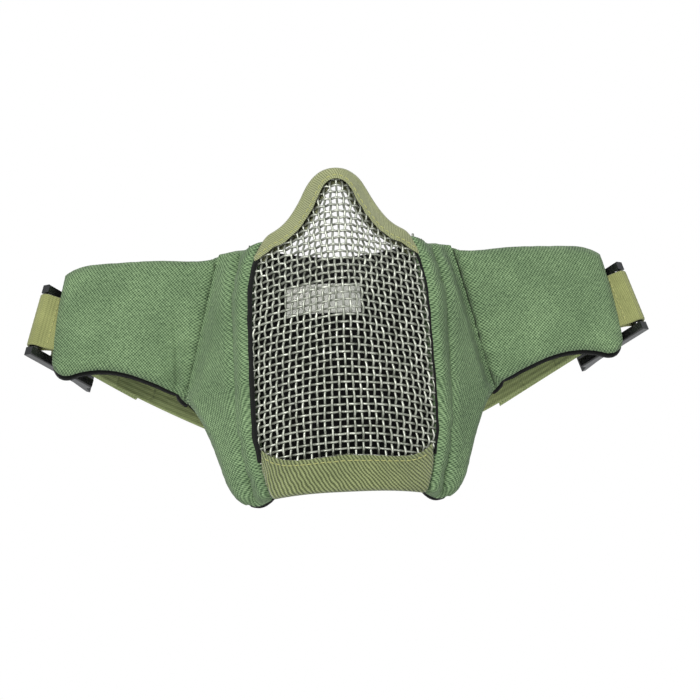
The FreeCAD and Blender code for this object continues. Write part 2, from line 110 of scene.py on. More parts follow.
class Field:
    """Depth of a surface over x and z, in mm, read from the frame on a grid, run on smoothly past
    its edges, and evened out a little."""

    def __init__(self, tree, x0, x1, z0, z1, step=1.5, rounds=2):
        self.x0, self.z0, self.step = x0, z0, step
        nx = int((x1 - x0) / step) + 1
        nz = int((z1 - z0) / step) + 1
        grid = np.full((nx, nz), np.nan)
        for i in range(nx):
            for j in range(nz):
                y = hit_y(tree, x0 + i * step, z0 + j * step)
                if y is not None:
                    grid[i, j] = y
        known = ~np.isnan(grid)
        filled = self.spread(np.where(known, grid, np.nanmean(grid)), known)
        self.grid = blurred(blurred(filled, rounds, 0), rounds, 1)

    @staticmethod
    def spread(values, known):
        """Fills the unknown cells outward from the known ones, then relaxes them."""
        done = known.copy()
        while not done.all():
            total = np.zeros_like(values)
            count = np.zeros_like(values)
            for axis, shift in ((0, 1), (0, -1), (1, 1), (1, -1)):
                moved = np.roll(np.where(done, values, 0.0), shift, axis)
                seen = np.roll(done, shift, axis).astype(float)
                edge = [slice(None), slice(None)]
                edge[axis] = 0 if shift == 1 else -1
                moved[tuple(edge)] = 0
                seen[tuple(edge)] = 0
                total += moved
                count += seen
            new = (~done) & (count > 0)
            values = np.where(new, total / np.maximum(count, 1), values)
            done = done | new
        for _ in range(30):
            soft = blurred(blurred(values, 1, 0), 1, 1)
            values = np.where(known, values, soft)
        return values

    def __call__(self, x, z):
        fx = np.clip((np.asarray(x, float) - self.x0) / self.step, 1.001, self.grid.shape[0] - 2.002)
        fz = np.clip((np.asarray(z, float) - self.z0) / self.step, 1.001, self.grid.shape[1] - 2.002)
        i = fx.astype(int)
        j = fz.astype(int)
        s = fx - i
        t = fz - j
        out = 0.0
        for di, wi in zip((-1, 0, 1, 2), self.weights(s)):
            for dj, wj in zip((-1, 0, 1, 2), self.weights(t)):
                out = out + wi * wj * self.grid[i + di, j + dj]
        return out

    @staticmethod
    def weights(s):
        return (-0.5 * s + s ** 2 - 0.5 * s ** 3, 1 - 2.5 * s ** 2 + 1.5 * s ** 3,
                0.5 * s + 2 * s ** 2 - 1.5 * s ** 3, -0.5 * s ** 2 + 0.5 * s ** 3)

    def normal(self, x, z):
        """Unit normal pointing out of the front."""
        e = 0.4
        fx = (self(x + e, z) - self(x - e, z)) / (2 * e)
        fz = (self(x, z + e) - self(x, z - e)) / (2 * e)
        return unit(np.stack([fx, -np.ones_like(fx), fz], -1))

    def point(self, x, z, depth=0.0):
        """Points on the surface, moved back from it by a depth along its normal."""
        x = np.asarray(x, float)
        z = np.asarray(z, float)
        base = np.stack([x, self(x, z), z], -1)
        return base - self.normal(x, z) * np.asarray(depth)[..., None]


def span(tree, fixed, low, high, along_x, step=0.3):
    """First and last place, in mm, where a line across the part meets it, seen from the front."""
    met = []
    for k in range(int((high - low) / step) + 1):
        value = low + k * step
        x, z = (value, fixed) if along_x else (fixed, value)
        if hit_y(tree, x, z) is not None:
            met.append(value)
    return (met[0], met[-1]) if met else None


def smooth_line(values, rounds=3):
    values = np.asarray(values, float)
    ends = values[0], values[-1]
    values = blurred(values, rounds, 0)
    values[0], values[-1] = ends
    return values


def joint(name):
    return [j for j in frame["record"]["behaviour"]["joints"] if j["name"] == name][0]


def box_mm(node):
    low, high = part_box(node)
    return np.array(low) / MM, np.array(high) / MM


# ---------------------------------------------------------------------------------------------
# making meshes
def make(name, verts, faces, uvs=None, material=None):
    """Mesh object from points in mm. uvs is one (u, v) in mm for each corner of each face."""
    mesh = bpy.data.meshes.new(name)
    mesh.from_pydata([tuple(v) for v in np.asarray(verts, float) * MM], [], [tuple(f) for f in faces])
    if uvs is not None:
        layer = mesh.uv_layers.new(name="weave")
        flat = np.asarray([c for f in uvs for c in f], float).ravel()
        layer.data.foreach_set("uv", flat)
    mesh.polygons.foreach_set("use_smooth", [True] * len(mesh.polygons))
    mesh.update()
    obj = bpy.data.objects.new(name, mesh)
    bpy.context.scene.collection.objects.link(obj)
    if material is not None:
        mesh.materials.append(material)
    return obj


class Builder:
    """Collects grids of points into one mesh."""

    def __init__(self):
        self.verts = []
        self.faces = []
        self.uvs = []

    def grid(self, points, uv, closed=False, flip=False):
        """Adds a sheet of quads from rows of points. Where its rows are closed on themselves, uv has
        one more column than points."""
        nu, nv = points.shape[:2]
        start = len(self.verts)
        self.verts += list(points.reshape(-1, 3))
        for i in range(nu - 1):
            for j in range(nv if closed else nv - 1):
                here = start + i * nv
                j1 = (j + 1) % nv
                face = [here + j, here + nv + j, here + nv + j1, here + j1]
                corners = [uv[i][j], uv[i + 1][j], uv[i + 1][j + 1], uv[i][j + 1]]
                self.add(face, corners, flip)

    def add(self, face, corners, flip=False):
        if flip:
            face = face[::-1]
            corners = corners[::-1]
        self.faces.append(face)
        self.uvs.append(corners)

    def shell(self, first, second, uv, wall=0.0):
        """Closes the space between two sheets of the same shape. wall is how far the weave runs on
        over its sides."""
        self.grid(first, uv)
        self.grid(second, uv, flip=True)
        for pick in (np.s_[0, :], np.s_[-1, :], np.s_[:, 0], np.s_[:, -1]):
            sides = np.stack([first[pick], second[pick]], 0)
            self.grid(sides, np.stack([uv[pick], uv[pick] + np.array([0.0, wall])], 0))

    def run(self, points, uv):
        """Adds rows of points as closed rings, with one face over each end."""
        start = len(self.verts)
        count, around = points.shape[:2]
        self.grid(points, uv, closed=True)
        for first, flip in ((start, False), (start + (count - 1) * around, True)):
            ring = list(range(first, first + around))
            self.add(ring, [(self.verts[i][0], self.verts[i][2]) for i in ring], flip)

    def object(self, name, material):
        return make(name, self.verts, self.faces, self.uvs, material)


def run_lengths(points):
    """Distance along each row of points, first axis along."""
    steps = np.linalg.norm(np.diff(points, axis=0), axis=-1)
    return np.concatenate([np.zeros((1,) + steps.shape[1:]), np.cumsum(steps, 0)], 0)


def mesh_fix(obj):
    """Turns all faces of a closed mesh outwards and drops doubled points."""
    b = bmesh.new()
    b.from_mesh(obj.data)
    bmesh.ops.remove_doubles(b, verts=b.verts, dist=1e-6)
    bmesh.ops.recalc_face_normals(b, faces=b.faces)
    b.to_mesh(obj.data)
    b.free()
    obj.data.polygons.foreach_set("use_smooth", [True] * len(obj.data.polygons))
    return obj


def tube(builder, path, radius, normals, sides=6):
    """Round wire along a path, with its ends closed."""
    ahead = unit(np.gradient(path, axis=0))
    side = unit(np.cross(ahead, normals))
    up = np.cross(side, ahead)
    angles = np.arange(sides) * 2 * math.pi / sides
    ring = (up[:, None] * np.cos(angles)[None, :, None] + side[:, None] * np.sin(angles)[None, :, None])
    uv = [[(d, a) for a in np.linspace(0, 2 * math.pi * radius, sides + 1)] for d in run_lengths(path)]
    builder.run(path[:, None] + ring * radius, uv)


def band(builder, path, across, width, thickness, ribs=None, edge=3, core=24):
    """Flat webbing: a strip of the given width and thickness with rounded edges, along a path in
    mm. across points from one edge to the other. ribs(s, w) gives a small rise of its faces at a
    distance s along it and a place w across it, from -1 to 1."""
    across = unit(across)
    thick = unit(np.cross(np.gradient(path, axis=0), across))
    lengths = run_lengths(path)
    half = width / 2
    t = np.broadcast_to(np.asarray(thickness, float) / 2, lengths.shape)
    ws = np.linspace(-1, 1, core + 1)
    bends = np.linspace(0, math.pi, edge + 2)[1:-1]
    profile = [(w, 1.0, 0.0) for w in ws]
    profile += [(1.0, math.cos(a), math.sin(a)) for a in bends]
    profile += [(w, -1.0, 0.0) for w in ws[::-1]]
    profile += [(-1.0, -math.cos(a), -math.sin(a)) for a in bends]
    rows = []
    for k, s in enumerate(lengths):
        row = []
        for w, up, out in profile:
            rise = ribs(s, w) if ribs is not None and out == 0.0 else 0.0
            place = w * (half - t[k]) + out * t[k]
            row.append(path[k] + across[k] * place + thick[k] * up * (t[k] + rise))
        rows.append(row)
    girth = 2 * width + (2 * thickness if np.isscalar(thickness) else 0.0)
    walk = np.linspace(0, girth, len(profile) + 1)
    builder.run(np.array(rows), [[(s, a) for a in walk] for s in lengths])


def stitches(builder, path, normals, pitch=2.9, length=2.1, radius=THREAD_R, lift=0.05):
    """A row of short thread stitches lying on a surface."""
    lengths = run_lengths(path)
    for k in range(int(lengths[-1] / pitch)):
        ss = (k + 0.15) * pitch + np.linspace(0, length, 5)
        spots = np.stack([np.interp(ss, lengths, path[:, a]) for a in range(3)], 1)
        ns = np.stack([np.interp(ss, lengths, normals[:, a]) for a in range(3)], 1)
        arch = np.array([-0.9, 0.3, 0.6, 0.3, -0.9]) * radius
        tube(builder, spots + ns * (arch + lift)[:, None], radius, ns)


def mirrored(points):
    return np.asarray(points, float) * np.array([-1.0, 1.0, 1.0])


def placed(points, side):
    """Points made for the right side, moved to the side wanted."""
    return mirrored(points) if side < 0 else points


# ---------------------------------------------------------------------------------------------
# materials
def srgb(r, g, b):
    return tuple((c / 255) ** 2.2 for c in (r, g, b)) + (1.0,)


def between(a, b):
    return tuple((first + second) / 2 for first, second in zip(a, b))


class Shader:
    """Small helper to write a procedural node material."""

    def __init__(self, name, roughness=0.85, metallic=0.0, sheen=0.0, specular=0.3, coat=0.0):
        self.material = bpy.data.materials.new(name)
        self.material.use_nodes = True
        self.tree = self.material.node_tree
        self.bsdf = self.tree.nodes["Principled BSDF"]
        self.bsdf.inputs["Roughness"].default_value = roughness
        self.bsdf.inputs["Metallic"].default_value = metallic
        self.bsdf.inputs["Specular IOR Level"].default_value = specular
        if sheen:
            self.bsdf.inputs["Sheen Weight"].default_value = sheen
            self.bsdf.inputs["Sheen Roughness"].default_value = 0.5
        if coat:
            self.bsdf.inputs["Coat Weight"].default_value = coat
            self.bsdf.inputs["Coat Roughness"].default_value = 0.12

    def plug(self, socket, value):
        if hasattr(value, "is_output"):
            self.tree.links.new(value, socket)
        else:
            socket.default_value = value

    def math(self, op, a, b=0.0, c=0.0):
        node = self.tree.nodes.new("ShaderNodeMath")
        node.operation = op
        for socket, value in zip(node.inputs, (a, b, c)):
            self.plug(socket, value)
        return node.outputs[0]

    def weave_uv(self):
        """The fabric's own directions in mm, as (u, v)."""
        node = self.tree.nodes.new("ShaderNodeUVMap")
        node.uv_map = "weave"
        split = self.tree.nodes.new("ShaderNodeSeparateXYZ")
        self.tree.links.new(node.outputs[0], split.inputs[0])
        return node.outputs[0], split.outputs[0], split.outputs[1]

    def place(self):
        """Position on the object, in metres."""
        return self.tree.nodes.new("ShaderNodeTexCoord").outputs["Object"]

    def noise(self, vector, scale, detail=2.0, rough=0.5):
        node = self.tree.nodes.new("ShaderNodeTexNoise")
        self.tree.links.new(vector, node.inputs["Vector"])
        node.inputs["Scale"].default_value = scale
        node.inputs["Detail"].default_value = detail
        node.inputs["Roughness"].default_value = rough
        return node.outputs["Fac"]

    def ramp(self, factor, stops):
        node = self.tree.nodes.new("ShaderNodeValToRGB")
        ramp = node.color_ramp
        while len(ramp.elements) < len(stops):
            ramp.elements.new(0.5)
        for element, (place, color) in zip(ramp.elements, stops):
            element.position = place
            element.color = color
        self.plug(node.inputs[0], factor)
        return node.outputs[0]

    def mix(self, factor, a, b, mode="MIX"):
        node = self.tree.nodes.new("ShaderNodeMix")
        node.data_type = "RGBA"
        node.blend_type = mode
        self.plug(node.inputs[0], factor)
        self.plug(node.inputs[6], a)
        self.plug(node.inputs[7], b)
        return node.outputs[2]

    def bump(self, height, distance, strength=1.0, under=None):
        node = self.tree.nodes.new("ShaderNodeBump")
        node.inputs["Strength"].default_value = strength
        node.inputs["Distance"].default_value = distance * MM
        self.tree.links.new(height, node.inputs["Height"])
        if under is not None:
            self.tree.links.new(under, node.inputs["Normal"])
        return node.outputs[0]

    def color(self, value):
        self.plug(self.bsdf.inputs["Base Color"], value)

    def normal(self, value):
        self.tree.links.new(value, self.bsdf.inputs["Normal"])

    def roughness(self, value):
        self.plug(self.bsdf.inputs["Roughness"], value)


def canvas(name, dark, light, pitch=0.7, depth=0.24, painted_glints=0.5):
    """Heavy plain-weave canvas: beads of yarn in a checkerboard, unevenly dyed and a little worn in
    patches, with painted highlights: pale specks on the beads' crowns stand in for glints of light.
    """
    s = Shader(name, roughness=0.92, sheen=0.08, specular=0.18)
    uv, u, v = s.weave_uv()
    wander = s.noise(uv, 0.1, 2.0)
    shift = s.math("MULTIPLY", s.math("SUBTRACT", wander, 0.5), 0.5)
    a = s.math("SINE", s.math("MULTIPLY", s.math("ADD", u, shift), math.pi / pitch))
    b = s.math("SINE", s.math("MULTIPLY", s.math("SUBTRACT", v, shift), math.pi / pitch))
    bead = s.math("MULTIPLY_ADD", s.math("MULTIPLY", a, b), 0.5, 0.5)
    fuzz = s.noise(uv, 2.6, 3.0, 0.65)
    yarn = s.noise(uv, 0.75, 3.0, 0.7)
    level = s.math("MULTIPLY_ADD", bead, 0.6, s.math("MULTIPLY", fuzz, 0.25))
    level = s.math("ADD", level, s.math("MULTIPLY", s.math("SUBTRACT", yarn, 0.5), 0.75))
    cloth = s.ramp(level, [(0.1, dark), (0.42, between(dark, light)), (0.82, light)])
    # painted highlight: pale specks on the crowns of the beads, mixed into the colour as glints of light
    painted_glint_mask = s.math("MULTIPLY", bead, s.noise(uv, 1.15, 2.0, 0.6))
    pale = tuple(min(1.0, c * 1.5 + 0.08) for c in light[:3]) + (1.0,)
    cloth = s.mix(s.ramp(painted_glint_mask, [(0.5, (0, 0, 0, 1)), (0.66, (painted_glints, painted_glints, painted_glints, 1))]), cloth, pale)
    patch = s.ramp(s.noise(uv, 0.045, 3.0), [(0.3, (0.78, 0.8, 0.78, 1)), (0.7, (1.1, 1.09, 1.07, 1))])
    s.color(s.mix(1.0, cloth, patch, "MULTIPLY"))
    s.normal(s.bump(s.math("MULTIPLY_ADD", fuzz, 0.35, bead), depth, 0.9))
    return s.material


def ribbed(name, dark, light, pitch=1.4, slant=(0.8, 0.6), depth=0.3, fuzz_depth=0.12, speck=0.25):
    """Twill or tape with ribs that run across the given direction, with fuzz on them."""
    s = Shader(name, roughness=0.93, sheen=0.3, specular=0.15)
    uv, u, v = s.weave_uv()
    wander = s.math("MULTIPLY", s.math("SUBTRACT", s.noise(uv, 0.22, 2.0), 0.5), 1.3)
    along = s.math("ADD", s.math("MULTIPLY", u, slant[0]), s.math("MULTIPLY", v, slant[1]))
    across = s.math("SUBTRACT", s.math("MULTIPLY", u, slant[1]), s.math("MULTIPLY", v, slant[0]))
    wave = s.math("SINE", s.math("MULTIPLY", s.math("ADD", along, wander), 2 * math.pi / pitch))
    beads = s.math("SINE", s.math("MULTIPLY", across, 2 * math.pi / (pitch * 0.62)))
    rib = s.math("MULTIPLY_ADD", wave, 0.5, 0.5)
    rib = s.math("MULTIPLY_ADD", beads, 0.12, rib)
    fuzz = s.noise(uv, 2.2, 3.0, 0.7)
    level = s.math("MULTIPLY_ADD", rib, 0.6, s.math("MULTIPLY", fuzz, speck + 0.2))
    cloth = s.ramp(level, [(0.12, dark), (0.5, between(dark, light)), (0.86, light)])
    patch = s.ramp(s.noise(uv, 0.07, 3.0), [(0.3, (0.85, 0.86, 0.84, 1)), (0.7, (1.08, 1.07, 1.07, 1))])
    s.color(s.mix(1.0, cloth, patch, "MULTIPLY"))
    first = s.bump(rib, depth, 0.9)
    s.normal(s.bump(fuzz, fuzz_depth, 0.8, under=first))
    return s.material


def webbing(name, dark, light, pitch=0.62):
    """Woven webbing: rows of small stitches that run along its ribs."""
    s = Shader(name, roughness=0.85, sheen=0.2, specular=0.25)
    uv, u, v = s.weave_uv()
    shift = s.math("MULTIPLY", s.math("SUBTRACT", s.noise(uv, 0.35, 2.0), 0.5), 0.5)
    slanted = s.math("ADD", u, s.math("MULTIPLY", v, 0.7))
    a = s.math("SINE", s.math("MULTIPLY", slanted, 2 * math.pi / (pitch * 1.7)))
    b = s.math("SINE", s.math("MULTIPLY", s.math("ADD", v, shift), 2 * math.pi / pitch))
    stitch = s.math("MULTIPLY_ADD", s.math("MULTIPLY", a, b), 0.5, 0.5)
    fuzz = s.noise(uv, 2.8, 3.0, 0.7)
    level = s.math("MULTIPLY_ADD", stitch, 0.4, s.math("MULTIPLY", fuzz, 0.55))
    cloth = s.ramp(level, [(0.15, dark), (0.85, light)])
    patch = s.ramp(s.noise(uv, 0.08, 3.0), [(0.3, (0.84, 0.84, 0.84, 1)), (0.7, (1.08, 1.08, 1.08, 1))])
    s.color(s.mix(1.0, cloth, patch, "MULTIPLY"))
    s.normal(s.bump(level, 0.16, 0.9))
    return s.material


def knit(name, dark, light, scale=1.6):
    """Soft black knit, brushed, with lint."""
    s = Shader(name, roughness=0.95, sheen=0.12, specular=0.1)
    uv, u, v = s.weave_uv()
    row = s.math("SINE", s.math("MULTIPLY", u, 2 * math.pi * scale / 1.9))
    waved = s.math("ADD", v, s.math("MULTIPLY", row, 0.25))
    loop = s.math("SINE", s.math("MULTIPLY", waved, 2 * math.pi * scale))
    fuzz = s.noise(uv, 2.4, 3.0, 0.7)
    level = s.math("ADD", s.math("MULTIPLY_ADD", loop, 0.2, 0.3), s.math("MULTIPLY", fuzz, 0.5))
    cloth = s.ramp(level, [(0.2, dark), (0.8, light)])
    lint = s.ramp(s.noise(uv, 0.7, 4.0, 0.8), [(0.71, (0, 0, 0, 1)), (0.78, (0.03, 0.03, 0.03, 1))])
    s.color(s.mix(1.0, cloth, lint, "ADD"))
    s.normal(s.bump(level, 0.14, 0.9))
    return s.material


def thread(name, color):
    s = Shader(name, roughness=0.7, sheen=0.2, specular=0.3)
    _, u, v = s.weave_uv()
    twist = s.math("SINE", s.math("MULTIPLY", s.math("ADD", u, s.math("MULTIPLY", v, 1.5)), 9.0))
    level = s.math("MULTIPLY_ADD", twist, 0.3, 0.5)
    s.color(s.ramp(level, [(0.0, tuple(c * 0.6 for c in color[:3]) + (1,)), (0.8, color)]))
    s.normal(s.bump(level, 0.06, 0.8))
    return s.material


def steel(name):
    """Wire with a thin grey-green coat, paler and darker in random patches, polished in some places and
    dull in others.
    """
    s = Shader(name, roughness=0.4, metallic=0.75, specular=0.5)
    spot = s.place()
    stain = s.noise(spot, 260.0, 4.0, 0.7)
    grime = s.noise(spot, 1400.0, 2.0, 0.6)
    s.color(s.ramp(stain, [(0.3, srgb(104, 107, 97)), (0.5, srgb(150, 153, 141)),
                           (0.72, srgb(198, 200, 188))]))
    s.roughness(s.math("MULTIPLY_ADD", grime, 0.35, 0.26))
    s.normal(s.bump(grime, 0.03, 0.5))
    return s.material


def plastic(name):
    """Moulded black acetal with a soft orange-peel gloss and fine scratches."""
    s = Shader(name, roughness=0.24, specular=0.5, coat=0.3)
    spot = s.place()
    scuff = s.noise(spot, 900.0, 4.0, 0.75)
    peel = s.noise(spot, 420.0, 2.0)
    s.color(s.ramp(scuff, [(0.35, srgb(16, 17, 17)), (0.7, srgb(34, 35, 34))]))
    s.roughness(s.math("MULTIPLY_ADD", scuff, 0.3, 0.1))
    s.normal(s.bump(s.math("ADD", peel, s.math("MULTIPLY", scuff, 0.3)), 0.07, 0.5))
    return s.material


# both canvases carry painted highlights, pale glint specks in their colour; the green one has the stronger
CANVAS = canvas("green_canvas", srgb(32, 54, 34), srgb(127, 151, 112), depth=0.3, painted_glints=0.75)
TAPE = ribbed("khaki_tape", srgb(80, 84, 54), srgb(144, 148, 110), pitch=0.8, slant=(0.94, 0.34),
              depth=0.05, fuzz_depth=0.2, speck=0.4)
TWILL = ribbed("khaki_twill", srgb(44, 52, 26), srgb(130, 138, 96), pitch=1.4, slant=(0.82, -0.57),
               depth=0.32)
WEBBING = webbing("khaki_webbing", srgb(72, 76, 38), srgb(158, 162, 106))
ELASTIC = webbing("khaki_elastic", srgb(88, 100, 60), srgb(166, 178, 122), pitch=0.8)
LINING = knit("black_lining", srgb(9, 9, 9), srgb(30, 31, 30))
CLOTH = knit("black_cloth", srgb(6, 6, 6), srgb(20, 20, 20), scale=2.2)
LABEL = canvas("white_label", srgb(176, 176, 170), srgb(236, 236, 230), pitch=0.5, depth=0.06)
THREAD_KHAKI = thread("khaki_thread", srgb(156, 158, 98))
STEEL = steel("steel_wire")
PLASTIC = plastic("black_plastic")


# ---------------------------------------------------------------------------------------------
# camera, light and floor
AZIMUTH = -3.2               # degrees; where the camera stands, a little to the left
ELEVATION = -9.3             # degrees; and a little below
ROLL = 2.9                   # degrees; the mask lies a little askew
DISTANCE = 1.2               # metres
FRAME_WIDTH = 0.308          # metres across the view at the mask
SENSOR = 36.0                # mm, as Blender counts it
FLOOR_Z = -400
FLOOR_REACH = 9000


def camera():
    azimuth, elevation, roll = math.radians(AZIMUTH), math.radians(ELEVATION), math.radians(ROLL)
    ahead = Vector((-math.sin(azimuth) * math.cos(elevation), math.cos(azimuth) * math.cos(elevation),
                    -math.sin(elevation)))
    flat = Vector((math.cos(azimuth), math.sin(azimuth), 0.0))
    up0 = flat.cross(ahead)
    right = flat * math.cos(roll) - up0 * math.sin(roll)
    up = flat * math.sin(roll) + up0 * math.cos(roll)
    data = bpy.data.cameras.new("camera")
    data.sensor_width = SENSOR
    data.lens = SENSOR * DISTANCE / FRAME_WIDTH
    data.clip_start = 0.01
    obj = bpy.data.objects.new("camera", data)
    bpy.context.scene.collection.objects.link(obj)
    aim = right * 0.0053 - up * 0.0132
    spot = aim - ahead * DISTANCE
    obj.matrix_world = Matrix(((right.x, up.x, -ahead.x, spot.x), (right.y, up.y, -ahead.y, spot.y),
                               (right.z, up.z, -ahead.z, spot.z), (0, 0, 0, 1)))
    bpy.context.scene.camera = obj


def lamp(name, place, size, power):
    """Square soft lamp, in metres and watts, aimed at the origin."""
    light = bpy.data.lights.new(name, "AREA")
    light.size = size
    light.energy = power
    obj = bpy.data.objects.new(name, light)
    obj.location = place
    obj.rotation_euler = (-Vector(place)).to_track_quat("-Z", "Y").to_euler()
    bpy.context.scene.collection.objects.link(obj)


def daylight():
    """Even pale light from all round, seen by the camera as plain white."""
    world = bpy.data.worlds.new("studio")
    world.use_nodes = True
    nodes = world.node_tree.nodes
    links = world.node_tree.links
    nodes.clear()
    path = nodes.new("ShaderNodeLightPath")
    light = nodes.new("ShaderNodeBackground")
    light.inputs["Color"].default_value = (0.93, 0.96, 1.0, 1)
    light.inputs["Strength"].default_value = 0.5
    white = nodes.new("ShaderNodeBackground")
    white.inputs["Color"].default_value = (1, 1, 1, 1)
    mix = nodes.new("ShaderNodeMixShader")
    out = nodes.new("ShaderNodeOutputWorld")
    links.new(path.outputs["Is Camera Ray"], mix.inputs[0])
    links.new(light.outputs[0], mix.inputs[1])
    links.new(white.outputs[0], mix.inputs[2])
    links.new(mix.outputs[0], out.inputs["Surface"])
    bpy.context.scene.world = world
    bpy.context.scene.view_settings.view_transform = "Standard"
    bpy.context.scene.view_settings.look = "None"


def floor():
    paint = bpy.data.materials.new("floor")
    paint.use_nodes = True
    shader = paint.node_tree.nodes["Principled BSDF"]
    shader.inputs["Base Color"].default_value = (0.86, 0.86, 0.85, 1)
    shader.inputs["Roughness"].default_value = 0.7
    corners = [(x * FLOOR_REACH, y * FLOOR_REACH, FLOOR_Z) for x, y in ((-1, -1), (1, -1), (1, 1), (-1, 1))]
    make("floor", corners, [(0, 1, 2, 3)], material=paint)


camera()
lamp("key", (-0.5, -1.2, 0.42), 0.5, 19.0)
lamp("fill", (0.9, -1.1, 0.0), 0.9, 7.0)
lamp("rim", (0.2, 0.9, 0.8), 0.6, 6.0)
daylight()
floor()


# ---------------------------------------------------------------------------------------------
# the wire mesh
mesh_tree = tree_of("wire_mesh_panel")
FRONT = Field(mesh_tree, -51.0, 51.0, -88.0, 65.0, rounds=1)


def wires():
    """Woven wire: rows across the face, lower at the sides, and columns an equal arc apart."""
    zs = np.arange(-90.0, 68.0, 1.0)
    xs = np.arange(0.0, 51.0, 0.25)
    grid_x, grid_z = np.meshgrid(xs, zs)
    depth = FRONT(grid_x, grid_z)
    arc = np.concatenate([np.zeros((len(zs), 1)), np.cumsum(np.hypot(np.diff(depth, axis=1), 0.25), 1)], 1)

    def x_at(s, z):
        """x on the right half at an arc length s from the centre line, at height z."""
        row = np.clip(np.asarray(z) - zs[0], 0, len(zs) - 1.001)
        low = row.astype(int)
        share = row - low
        first = np.array([np.interp(a, arc[i], xs) for a, i in zip(s, low)])
        second = np.array([np.interp(a, arc[i + 1], xs) for a, i in zip(s, low)])
        return first * (1 - share) + second * share

    def place(s, t, rise):
        side = np.sign(s)
        x = x_at(np.abs(s), t)
        z = t - ROW_DROP * (x / 40.0) ** 2
        x = x_at(np.abs(s), z) * side
        sway = 0.16 * np.sin(x * 0.21 + z * 0.13 + 1.0) + 0.1 * np.sin(x * 0.47 - z * 0.31)
        x = x + sway
        z = z + 0.16 * np.sin(x * 0.17 - z * 0.11)
        return FRONT.point(x, z, 1.0 - rise), FRONT.normal(x, z)

    def runs(points, normals, builder):
        # under the hems the wires are trimmed a little below the hems' tops
        seen = [hit_y(mesh_tree, x, z) is not None and (abs(x) < HEM_COVERS_X or z < WIRE_TRIM_Z)
                for x, y, z in points]
        start = None
        for i, here in enumerate(seen + [False]):
            if here and start is None:
                start = i
            if not here and start is not None:
                if i - start > 4:
                    tube(builder, points[start:i], WIRE_R, normals[start:i])
                start = None

    step = WIRE_PITCH / STEPS
    down = Builder()
    for k in range(-19, 20):
        t = np.arange(-88.0, 66.0, ROW_GAP / STEPS)
        s = np.full_like(t, k * WIRE_PITCH)
        rise = WEAVE_RISE * np.cos(math.pi * (k + t / ROW_GAP))
        points, normals = place(s, t, rise)
        runs(points, normals, down)
    across = Builder()
    for j in range(-29, 23):
        s = np.arange(-60.8, 60.81, step)
        t = np.full_like(s, j * ROW_GAP)
        rise = -WEAVE_RISE * np.cos(math.pi * (s / WIRE_PITCH + j))
        points, normals = place(s, t, rise)
        runs(points, normals, across)
    for builder, name in ((down, "wires_down"), (across, "wires_across")):
        obj = builder.object(name, STEEL)
        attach(obj, "centre")
        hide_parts("wire_mesh_panel")


wires()


# ---------------------------------------------------------------------------------------------
# bindings folded over the edges of the mesh
def resampled(line, count):
    lengths = run_lengths(line)
    spots = np.linspace(0, lengths[-1], count)
    return np.stack([np.interp(spots, lengths, line[:, a]) for a in range(line.shape[1])], 1)


def wavy(count, seed, amount, scale):
    """Smooth random wander along a line of points, with a spread of amount."""
    r = np.random.default_rng(seed)
    values = blurred(r.normal(size=count), max(1, int(scale)), 0)
    return values / max(values.std(), 1e-6) * amount


def folded_strip(name, outer, inner, front_depth, back_depth, thick, material, node, seed,
                 stitch_in, lip=0.0):
    """Tape folded over the mesh's edge. outer and inner are its two long edges seen from the front.
    lip is how far the inner edge stands off, and stitch_in is how far in from it the tape is sewn."""
    count = len(outer)
    lip = np.broadcast_to(lip, count)
    ripple = wavy(count, seed, 0.1, 8)
    edge_wave = wavy(count, seed + 1, 0.12, 5)
    rows = []
    uvs = []
    width = np.linalg.norm(outer - inner, axis=1)
    direction = unit(outer - inner)
    along = run_lengths((outer + inner) / 2)
    bends = np.linspace(0, math.pi, 9)
    for i in range(count):
        w = max(width[i], 6.0)
        f = -front_depth + ripple[i]
        b = back_depth - ripple[i]
        middle = (f + b) / 2
        half = (b - f) / 2
        fold = min(1.9, w * 0.3)
        lift = lip[i]
        profile = [(0.15, f + 0.55 - lift * 0.5), (0.0, f + 0.3 - lift), (0.25, f + 0.04 - lift),
                   (0.9, f - lift * 0.6), (1.8, f - lift * 0.15)]
        profile += [(a, f) for a in np.linspace(2.4, w - fold, 9)]
        profile += [(w - fold + fold * math.sin(c), middle - half * math.cos(c)) for c in bends[1:-1]]
        profile += [(a, b) for a in np.linspace(w - fold, 0.6, 9)]
        profile += [(0.1, b - 0.35), (0.6, b - thick)]
        profile += [(a, b - thick) for a in np.linspace(1.4, w - fold - 0.8, 5)]
        profile += [(w - fold + (fold - thick) * math.sin(c), middle + (half - thick) * math.cos(c))
                    for c in bends[2:-2:2]]
        profile += [(a, f + thick) for a in np.linspace(w - fold - 0.8, 0.9, 5)]
        a = np.array([p[0] for p in profile])
        d = np.array([p[1] for p in profile])
        a = a * width[i] / w
        grow = np.where(a < 1.0, edge_wave[i] * (1 - a), 0.0)
        x = inner[i, 0] + direction[i, 0] * (a + grow)
        z = inner[i, 1] + direction[i, 1] * (a + grow)
        rows.append(FRONT.point(x, z, d))
        walk = np.concatenate([[0], np.cumsum(np.hypot(np.diff(a), np.diff(d)))])
        uvs.append([(along[i], v) for v in walk] + [(along[i], walk[-1] + 0.5)])
    builder = Builder()
    builder.run(np.array(rows), uvs)
    obj = mesh_fix(builder.object(name, material))
    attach(obj, "centre")
    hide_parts(node)
    line = inner + direction * stitch_in
    spots = FRONT.point(line[:, 0], line[:, 1], -front_depth + ripple)
    sewing = Builder()
    stitches(sewing, spots[3:-3], FRONT.normal(line[:, 0], line[:, 1])[3:-3])
    seam = sewing.object(name + "_stitches_0", THREAD_KHAKI)
    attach(seam, "centre")


def outline(name, xs, low, high, rounds):
    """Where the part is met at each x from height low to high: x, its lower and its upper edge."""
    tree = tree_of(name)
    found = [(x, span(tree, x, low, high, False)) for x in xs]
    found = [(x, edge) for x, edge in found if edge is not None]
    under, top = (smooth_line([edge[end] for x, edge in found], rounds) for end in (0, 1))
    return np.array([x for x, edge in found]), under, top


